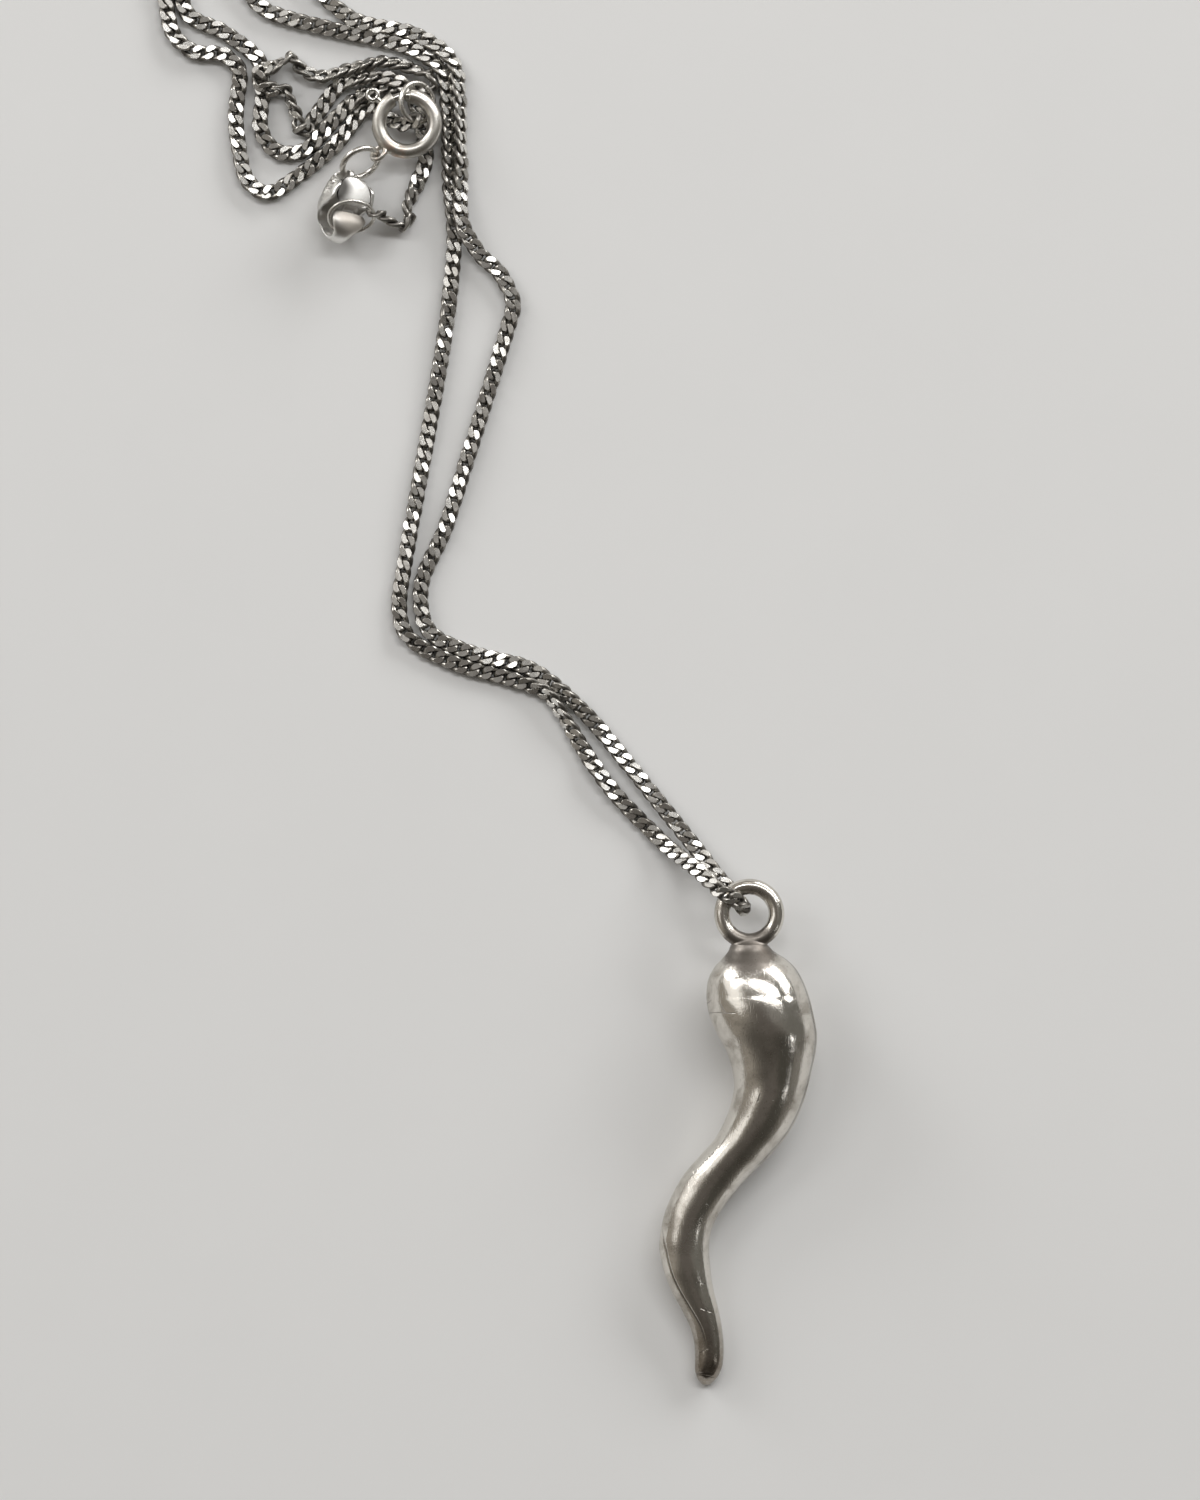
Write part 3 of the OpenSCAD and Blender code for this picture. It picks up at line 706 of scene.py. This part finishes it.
chainStart = [(-5.95, 28.05, 2.22, 0)]  # the last links reach on to the rings that hold them
chainEnd = [(-8.84, 20.6, 1.88, -270)]


def chainPath(rows, step=0.05):
    rows = np.array(rows, float)
    rows[:, 2] += chain["lift"] + chain["edgeLift"] * np.abs(np.sin(np.radians(rows[:, 3])))
    gaps = np.linalg.norm(np.diff(rows[:, :3], axis=0), axis=1)
    slopes = []
    for i in range(len(rows)):
        if i == 0 or i == len(rows) - 1:
            j = min(i, len(rows) - 2)
            slopes.append((rows[j + 1] - rows[j]) / gaps[j])
        else:
            before, after = (rows[i] - rows[i - 1]) / gaps[i - 1], (rows[i + 1] - rows[i]) / gaps[i]
            slopes.append((before * gaps[i - 1] + after * gaps[i]) / (gaps[i - 1] + gaps[i]))
    points = []
    for i, gap in enumerate(gaps):
        # a bend reaches no further along a long straight run than its shorter neighbour lets it
        reach = [min(gap, chain["bendReach"] * gaps[j]) for j in (max(i - 1, 0), min(i + 1, len(gaps) - 1))]
        for k in range(max(2, int(gap / step))):
            t = k / max(2, int(gap / step))
            a, b = 2 * t ** 3 - 3 * t ** 2 + 1, t ** 3 - 2 * t ** 2 + t
            c, d = -2 * t ** 3 + 3 * t ** 2, t ** 3 - t ** 2
            points.append(a * rows[i] + b * reach[0] * slopes[i] + c * rows[i + 1] + d * reach[1] * slopes[i + 1])
    points.append(rows[-1])
    return np.array(points)


def chainFrames(points):
    way = np.gradient(points[:, :3], axis=0)
    way /= np.linalg.norm(way, axis=1)[:, None]
    last, widths = np.array([0.0, 1.0, 0.0]), []
    for tangent, row in zip(way, points):
        level = np.cross((0, 0, 1), tangent)
        size = np.linalg.norm(level)
        side = level / size if size > 0.3 else last - tangent * np.dot(last, tangent)
        side /= np.linalg.norm(side)
        if np.dot(side, last) < 0:
            side = -side
        last = side
        roll = math.radians(row[3])
        widths.append(side * math.cos(roll) + np.cross(tangent, side) * math.sin(roll))
    return way, np.array(widths)


def linkMesh():
    grid = []
    long, wide, twist = chain["length"], chain["width"], chain["twist"]
    for t in circle(chain["turns"]):
        at = Vector((long * math.cos(t), wide * math.sin(t), -twist * math.sin(2 * t)))
        way = Vector((-long * math.sin(t), wide * math.cos(t), -2 * twist * math.cos(2 * t))).normalized()
        outward = Vector((0, 0, 1)).cross(way).normalized()
        up = way.cross(outward)
        grid.append([at + (outward * math.cos(a) + up * math.sin(a)) * chain["wire"]
                     for a in (2 * math.pi * (k + 0.5) / chain["sides"] for k in range(chain["sides"]))])
    mesh = meshFromGrid("curbLink", grid, closedAlong=True)
    made = bmesh.new()
    made.from_mesh(mesh)
    for sign in (1, -1):
        cut = bmesh.ops.bisect_plane(made, geom=made.verts[:] + made.edges[:] + made.faces[:], dist=1e-6,
                                     plane_co=(0, 0, sign * chain["cut"]), plane_no=(0, 0, sign), clear_outer=True)
        rim = [e for e in cut["geom_cut"] if isinstance(e, bmesh.types.BMEdge)]
        filled = bmesh.ops.holes_fill(made, edges=rim, sides=0)
        for face in filled["faces"]:
            face.material_index = 1
    bmesh.ops.recalc_face_normals(made, faces=made.faces)
    made.normal_update()
    points = np.array([v.co[:] for v in made.verts])
    faces = [[v.index for v in f.verts] for f in made.faces]
    cut = np.array([f.material_index for f in made.faces])
    made.free()
    return points, faces, cut


def spin(a, b, degrees):
    # turns a link's direction a towards its direction b, and b with it
    c, s = math.cos(math.radians(degrees)), math.sin(math.radians(degrees))
    return a * c + b * s, b * c - a * s


def makeChain():
    points = chainPath(chainStart + routeFromSolid() + chainEnd)
    way, widths = chainFrames(points)
    lengths = np.concatenate([[0], np.cumsum(np.linalg.norm(np.diff(points[:, :3], axis=0), axis=1))])
    count = int(lengths[-1] / chain["pitch"])
    pitch = lengths[-1] / count
    base, faces, cut = linkMesh()
    opened = np.clip(np.abs(base[:, 2]) / chain["cut"], 0, 1) ** chain["gapPower"]
    dice = random.Random(chain["seed"])

    def onLine(values, s):
        return np.array([np.interp(min(max(s, 0), lengths[-1]), lengths, values[:, c]) for c in range(3)])

    places = []
    for i in range(count + 1):
        here = min(i * pitch, lengths[-1])
        at = onLine(points, here)
        along = onLine(points, here + chain["reach"]) - onLine(points, here - chain["reach"])
        along /= np.linalg.norm(along)
        width = onLine(widths, here)
        width -= along * np.dot(width, along)
        width /= np.linalg.norm(width)
        up = np.cross(along, width)
        slow = noise.noise(Vector((here / chain["slowLength"], chain["slowSeed"], 0))) * 2
        width, up = spin(width, up, dice.gauss(0, chain["jitterRoll"]) + slow * chain["slowRoll"])
        along, width = spin(along, width, dice.gauss(0, chain["jitterTurn"]))
        along, up = spin(along, up, dice.gauss(0, chain["jitterPitch"]))
        places.append((at, np.array([along, width, up])))
    # a link that reaches under the table is raised, and its neighbours part of the way with it
    under = np.array([max(-(at + base @ axes)[:, 2].min(), 0) for at, axes in places])
    rise = np.convolve(np.maximum.reduce([np.roll(under, side) for side in (-1, 0, 1)]), np.ones(3) / 3, "same")
    places = [(at + np.array([0, 0, height]), axes) for (at, axes), height in zip(places, rise)]
    wire = silverMaterial("chainWire", chain, chainGapShade)
    flat = silverMaterial("chainCut", chainCut)
    names = ("chainOuterRun", "chainRightStrand", "chainLeftStrand", "chainInnerRun")
    share = math.ceil(len(places) / len(names))
    for n, name in enumerate(names):
        part = places[n * share:(n + 1) * share]
        verts = np.concatenate([at + base @ axes for at, axes in part]) * mm
        mesh = bpy.data.meshes.new(name)
        linked = [[v + k * len(base) for v in face] for k in range(len(part)) for face in faces]
        mesh.from_pydata(verts.tolist(), [], linked)
        allCut = np.tile(cut, len(part))
        mesh.polygons.foreach_set("material_index", allCut.astype(np.int32))
        mesh.polygons.foreach_set("use_smooth", allCut == 0)
        attribute = mesh.attributes.new("opened", "FLOAT", "POINT")
        attribute.data.foreach_set("value", np.tile(opened, len(part)).astype(np.float32))
        mesh.update()
        addObject(name, mesh, replaced=["chain"])
        mesh.materials.append(wire)
        mesh.materials.append(flat)
    print("chain: %d links, %.1f mm, %d faces a link" % (len(places), lengths[-1], len(faces)))


def chainGapShade(tree, color, rough, height):
    # painted shade: the wire is darkened towards its middle height, where the links lie in each other's shade, and is
    # rougher there too
    opened = addNode(tree, "ShaderNodeAttribute", attribute_name="opened").outputs["Fac"]
    lit = rangeNode(tree, opened, 0.1, 0.95)
    color = mixColor(tree, lit, mixColor(tree, chain["gapShadeAmount"], color, chain["gapShadeTint"]), color)
    rough = plus(tree, rough, rangeNode(tree, opened, 0.0, 0.8, 0.18, 0.0))
    return color, rough, height


makeChain()


# bolt ring: the solid's own shape with its edges worn round and lumps of warm solder at the small eye

boltRing = {
    "middle": (-6.4, 27.9, 2.1), "voxel": 0.05, "passes": 3,
    "lumps": [  # angle, radius, height, size
        (205, 2.62, -0.2, 0.34), (216, 2.70, 0.12, 0.30), (232, 2.74, -0.05, 0.36), (244, 2.62, 0.1, 0.26),
    ],
    "lumpShape": (0.6, 1, 0.8, 1),
    "metal": (0.66, 0.64, 0.595, 1), "tarnish": (0.24, 0.205, 0.165, 1), "amount": 0.65,
    "clouds": 800.0, "specks": 5000.0, "polish": 0.24, "haze": 0.26, "dents": 0.7, "bump": 0.6,
    "warmAt": (-7.6, 25.15), "warmReach": (0.0004, 0.0017), "copper": (0.50, 0.34, 0.25, 1),  # mm; m
}


def makeBoltRing():
    made = bmesh.new()
    made.from_mesh(nodes["bolt_ring"].data)
    for angle, radius, height, size in boltRing["lumps"]:
        a = math.radians(angle)
        at = Vector(boltRing["middle"]) + Vector((radius * math.cos(a), radius * math.sin(a), height))
        place = Matrix.Translation(at * mm) @ Matrix.Rotation(a, 4, "Z") @ Matrix.Diagonal(boltRing["lumpShape"])
        bmesh.ops.create_icosphere(made, subdivisions=3, radius=size * mm, matrix=place)
    mesh = bpy.data.meshes.new("boltRing")
    made.to_mesh(mesh)
    made.free()
    return softened(mesh, boltRing["voxel"], boltRing["passes"])


def warmSolder(tree, color, rough, height):
    far = flatDistance(tree, positionOf(tree), boltRing["warmAt"])
    clouds = noiseNode(tree, whereOn(tree), 1400.0, 3.0, 0.6)
    near = times(tree, rangeNode(tree, far, *boltRing["warmReach"], 1.0, 0.0), rangeNode(tree, clouds, 0.35, 0.6))
    color = mixColor(tree, times(tree, near, 0.85), color, boltRing["copper"])
    return color, plus(tree, rough, times(tree, near, 0.12)), height


ringSilver = silverMaterial("ringSilver", boltRing, warmSolder)
ring = addObject("boltRing", makeBoltRing(), replaced=["bolt_ring"])
ring.data.materials.append(ringSilver)
print("bolt ring:", len(ring.data.polygons), "faces")


# bolt with its thumb tab, and the two jump rings

findings = {
    "chainRing": {"at": (-5.55, 29.6, 2.02), "radius": 1.59, "wire": 0.21, "tilt": 36, "splitAt": 60},
    "claspRing": {
        "at": (-10.11, 24.7, 2.2), "radius": 1.54, "wire": 0.24, "turn": 33, "rise": 8, "tilt": 56, "splitAt": 200,
    },
    "gap": 0.03, "sawnEnd": 0.9, "steps": 110, "sides": 20,  # mm; share of the wire
    "boltVoxel": 0.03, "boltPasses": 2,
    "metal": (0.70, 0.68, 0.64, 1), "tarnish": (0.25, 0.22, 0.18, 1), "amount": 0.55,
    "clouds": 900.0, "specks": 6000.0, "polish": 0.22, "haze": 0.22, "dents": 0.5, "bump": 0.5,
}
findingSilver = silverMaterial("findingSilver", findings)


def openRing(name, ring, placed):
    # a jump ring: round wire whose two sawn ends meet with a hair's gap
    radius, steps, grid = ring["radius"], findings["steps"], []
    gap = findings["gap"] / radius
    for i in range(steps):
        a = math.radians(ring["splitAt"]) + gap / 2 + (2 * math.pi - gap) * i / (steps - 1)
        out = Vector((math.cos(a), math.sin(a), 0))
        near = findings["sawnEnd"] if i in (0, steps - 1) else 1  # the sawn ends are slightly rounded
        wire = near * ring["wire"]
        grid.append([(out * (radius + wire * math.cos(b)) + Vector((0, 0, wire * math.sin(b)))) * mm
                     for b in circle(findings["sides"], -1)])
    mesh = meshFromGrid(name, grid)
    mesh.transform(placed)
    return mesh


def turned(degrees, axis):
    return Matrix.Rotation(math.radians(degrees), 4, axis)


look = findings["chainRing"]
place = Matrix.Translation(Vector(look["at"]) * mm) @ turned(look["tilt"], "Y")
chainRing = addObject("chainRing", openRing("chainRing", look, place), replaced=["chain_ring"])
look = findings["claspRing"]
place = Matrix.Translation(Vector(look["at"]) * mm) @ turned(look["turn"], "Z")
place = place @ turned(-look["rise"], "Y") @ turned(look["tilt"], "X")
claspRing = addObject("claspRing", openRing("claspRing", look, place), replaced=["clasp_ring"])
boltMesh = softened(nodes["ring_bolt"].data.copy(), findings["boltVoxel"], findings["boltPasses"])
bolt = addObject("ringBolt", boltMesh, "bolt", ["ring_bolt"])
for obj in (chainRing, claspRing, bolt):
    obj.data.materials.append(findingSilver)
print("findings ready")


# lever clasp: a curved shell with two cheeks that runs round into its hook, drawn lying on its back
# with its length along Y and then put where the solid is

clasp = {
    "baseAt": (-11.5906, 23.7988, 0.47), "turn": -11, "roll": 28, "length": 6.2, "baseRadius": 0.7,  # mm, degrees
    "cheek": 0.28, "crown": 0.17, "square": (2.0, 4.0), "close": 24,
    "eyelet": {"at": (5.5, 1.27), "radius": 0.47, "wall": 0.07, "half": 0.22, "boxy": 0.6},
    "hinge": (4.6, 2.05), "pinRadius": 0.21, "pinHalf": 1.72, "pinDome": 0.09,
    "hookRing": {"at": (0.25, 2.2, 2.62), "slope": 43, "long": 1.89, "wide": 1.59, "wire": 0.155, "ripple": 0.05},
    "sectionSteps": 18, "plateSteps": 16, "plateSag": 0.14, "plateTaper": 0.97, "innerShare": 0.76,
    "bodyVoxel": 0.045, "bodyPasses": 10, "leverVoxel": 0.035, "leverPasses": 5,
    "metal": (0.80, 0.79, 0.765, 1), "tarnish": (0.30, 0.265, 0.23, 1), "amount": 0.35,
    "clouds": 700.0, "specks": 5000.0, "polish": 0.29, "haze": 0.2, "dents": 0.6, "bump": 0.5,
    # lever plate: painted dark reflection, nearly black, along its left edge
    "paintedDarkFrom": (-12.2, 22.7, 3.95), "paintedDarkReach": (0.001, 0.0021), "paintedReflectionTint": (0.022, 0.019, 0.016, 1),  # mm; m
    # tongue: painted reflection of the table, a darker warm beige
    "tongueAt": (-10.9, 20.2, 2.6), "tongueReach": (0.0009, 0.0019), "tongueReflectionTint": (0.55, 0.50, 0.44, 1),
}
claspRows = [
    # along, height, inward direction in degrees, half width left and right, height of the cheeks, thickness
    (6.0, 0.62, 98, 0.45, 0.50, 0.0, 0.24), (5.78, 0.53, 98, 0.80, 0.74, 0.0, 0.26),
    (5.55, 0.47, 97, 1.06, 0.98, 0.0, 0.26), (5.38, 0.43, 97, 1.28, 1.28, 0.15, 0.29),
    (5.22, 0.41, 97, 1.41, 1.46, 1.30, 0.32), (5.05, 0.38, 97, 1.52, 1.58, 1.90, 0.34),
    (4.7, 0.32, 96, 1.70, 1.74, 2.20, 0.38), (4.2, 0.26, 96, 1.88, 1.82, 2.20, 0.40),
    (3.65, 0.20, 96, 2.00, 1.86, 2.15, 0.42), (3.2, 0.14, 96, 2.04, 1.84, 1.50, 0.45),
    (2.7, 0.08, 95, 2.02, 1.76, 0.65, 0.50), (2.1, 0.02, 92, 1.90, 1.60, 0.15, 0.54),
    (1.5, 0.02, 84, 1.66, 1.36, 0.0, 0.56), (0.95, 0.16, 64, 1.36, 1.10, 0.0, 0.57),
    (0.42, 0.52, 40, 1.14, 0.86, 0.0, 0.58), (0.1, 1.02, 18, 0.98, 0.66, 0.0, 0.58),
    (0.0, 1.58, -2, 0.86, 0.54, 0.0, 0.58), (0.12, 2.14, -24, 0.86, 0.52, 0.0, 0.56),
    (0.48, 2.64, -46, 0.94, 0.68, 0.0, 0.52), (1.0, 2.97, -70, 1.16, 1.00, 0.0, 0.48),
    (1.6, 3.03, -92, 1.34, 1.40, 0.0, 0.42), (2.15, 2.90, -104, 1.36, 1.62, 0.0, 0.36),
    (2.5, 2.76, -108, 1.10, 1.38, 0.0, 0.28),
]
leverRows = [  # along, height of the top, half width, thickness
    (2.97, 3.08, 1.00, 0.30), (3.12, 3.13, 1.22, 0.36), (3.5, 3.12, 1.42, 0.38),
    (3.9, 3.05, 1.46, 0.38), (4.3, 2.97, 1.38, 0.36), (4.7, 2.88, 1.22, 0.34),
    (5.05, 2.77, 1.00, 0.30), (5.25, 2.68, 0.78, 0.26), (5.34, 2.62, 0.55, 0.20),
]


def claspPlace():
    down = Matrix.Translation((0, (clasp["baseRadius"] - clasp["length"]) * mm, 0))
    base = Matrix.Translation(Vector(clasp["baseAt"]) * mm)
    return base @ turned(clasp["turn"], "Z") @ turned(clasp["roll"], "Y") @ down


def boxy(value, power):
    return math.copysign(abs(value) ** power, value)


def claspSection(half, top, floor, power, close):
    # from one rim down round the back and up to the other rim, as (across, deep); the rims close in a little
    points, rim = [], math.sin(math.radians(close)) ** (2 / power) if close else 0
    middle, steps = top / (1 + rim), clasp["sectionSteps"]
    for k in range(2 * steps + 1):
        a = math.radians((k / steps - 1) * (90 + close))
        x, z = boxy(math.sin(a), 2 / power), boxy(math.cos(a), 2 / power)
        points.append((half[x > 0] * x, floor + (middle - floor) * (1 - z) if z > 0 else middle * (1 - z)))
    return points


def claspShell():
    grid, (flat, deep) = [], clasp["square"]
    for along, height, lean, left, right, wall, thick in smoothRows(claspRows, 5):
        top = max(wall, 0) + thick / 2 + clasp["crown"] * (left + right) / 2
        hollow = blendStep(wall, 0.1, 1.2)
        power, close = flat + (deep - flat) * hollow, clasp["close"] * hollow
        ahead, inward = math.cos(math.radians(lean)), math.sin(math.radians(lean))
        outside = claspSection((left, right), top, 0, power, close)
        inside = claspSection((left - clasp["cheek"], right - clasp["cheek"]), top, thick, power, close)
        grid.append([Vector((x, along + z * ahead, height + z * inward)) * mm for x, z in outside + inside[::-1]])
    return meshFromGrid("claspShell", grid)


def claspEyelet():
    eyelet, grid = clasp["eyelet"], []
    for a in circle(48):
        row = []
        for b in circle(20):
            out = eyelet["radius"] + eyelet["wall"] * boxy(math.cos(b), eyelet["boxy"])
            side = eyelet["half"] * boxy(math.sin(b), eyelet["boxy"])
            row.append(Vector((side, eyelet["at"][0] + out * math.cos(a), eyelet["at"][1] + out * math.sin(a))) * mm)
        grid.append(row)
    return meshFromGrid("claspEyelet", grid, closedAlong=True)


def leverPlate():
    grid, steps = [], clasp["plateSteps"]
    across = [-math.cos(math.pi * k / steps) for k in range(steps + 1)]
    for along, height, half, thick in smoothRows(leverRows, 5):
        row = []
        for bottom, share, line in ((0, 1, across), (thick, clasp["plateTaper"], across[::-1])):
            for x in line:
                row.append(Vector((x * half * share, along, height - bottom - clasp["plateSag"] * x * x)) * mm)
        grid.append(row)
    return meshFromGrid("leverPlate", grid)


def claspPinMesh():
    grid, half, dome, radius = [], clasp["pinHalf"], clasp["pinDome"], clasp["pinRadius"]
    ends = [(half + dome * math.sin(a), radius * math.cos(a)) for a in (math.pi / 2 * k / 6 for k in range(6))]
    profile = [(-x, r) for x, r in reversed(ends)] + ends
    for x, r in profile:
        grid.append([Vector((x, clasp["hinge"][0] + r * math.cos(b), clasp["hinge"][1] + r * math.sin(b))) * mm
                     for b in circle(24)])
    return meshFromGrid("claspPin", grid)


def hookRingMesh():
    # thin oval ring of springy wire, round the hook's free end and over the lever's lip
    look, grid = clasp["hookRing"], []
    for a in circle(96):
        at = Vector((look["long"] * math.cos(a), look["wide"] * math.sin(a), look["ripple"] * math.sin(2 * a)))
        out = Vector((look["wide"] * math.cos(a), look["long"] * math.sin(a), 0)).normalized()
        grid.append([(at + (out * math.cos(b) + Vector((0, 0, math.sin(b)))) * look["wire"]) * mm
                     for b in circle(14, -1)])
    mesh = meshFromGrid("hookRing", grid, closedAlong=True)
    mesh.transform(claspPlace() @ Matrix.Translation(Vector(look["at"]) * mm) @ turned(look["slope"], "X"))
    return mesh


def distanceFrom(tree, spot):
    gap = addNode(tree, "ShaderNodeVectorMath", operation="DISTANCE")
    feed(tree, gap.inputs[0], whereOn(tree))
    gap.inputs[1].default_value = Vector(spot) * mm
    return gap.outputs["Value"]


def tonguePaintedReflection(tree, color, rough, height):
    # the tongue is painted a darker warm beige, a painted reflection of the table in shade, and is given a rougher
    # finish
    dullAndReflection = rangeNode(tree, distanceFrom(tree, clasp["tongueAt"]), *clasp["tongueReach"], 1.0, 0.0)
    color = mixColor(tree, times(tree, dullAndReflection, 0.75), color, clasp["tongueReflectionTint"])
    return color, plus(tree, rough, times(tree, dullAndReflection, 0.14)), height


def leverPaintedReflection(tree, color, rough, height):
    # painted dark reflection: the plate is painted nearly black along its left edge, standing in for the dark room it
    # reflects, and is rougher there
    dark = rangeNode(tree, distanceFrom(tree, clasp["paintedDarkFrom"]), *clasp["paintedDarkReach"], 1.0, 0.0)
    rough = plus(tree, rough, times(tree, dark, 0.15))
    return mixColor(tree, times(tree, dark, 0.92), color, clasp["paintedReflectionTint"]), rough, height


def makeClasp():
    place = claspPlace()
    claspSilver = silverMaterial("claspSilver", clasp, tonguePaintedReflection)
    leverSilver = silverMaterial("leverSilver", clasp, leverPaintedReflection)
    shell = softened(joined("claspBody", [claspShell(), claspEyelet()]), clasp["bodyVoxel"], clasp["bodyPasses"])
    shell.transform(place)
    plate = leverPlate()
    plate.transform(place)
    # boss and nose, a quarter narrower, so that they end under the plate
    inner = nodes["clasp_lever"].data.copy()
    inner.transform(place @ Matrix.Diagonal((clasp["innerShare"], 1, 1, 1)) @ place.inverted())
    lever = softened(joined("claspLever", [inner, plate]), clasp["leverVoxel"], clasp["leverPasses"])
    pin = claspPinMesh()
    pin.transform(place)
    for name, mesh, body, node, slot, material in (
            ("claspBody", shell, "necklace", "clasp_body", "clasp_silver", claspSilver),
            ("claspLever", lever, "lever", "clasp_lever", "clasp_silver", leverSilver),
            ("claspPin", pin, "necklace", "clasp_pin", "horn_silver", findingSilver),
            ("hookRing", hookRingMesh(), "necklace", "hook_ring", "clasp_silver", findingSilver)):
        addObject(name, mesh, body, [node])
        mesh.materials.append(material)
    print("clasp: body %d faces, lever %d faces" % (len(shell.polygons), len(lever.polygons)))


makeClasp()
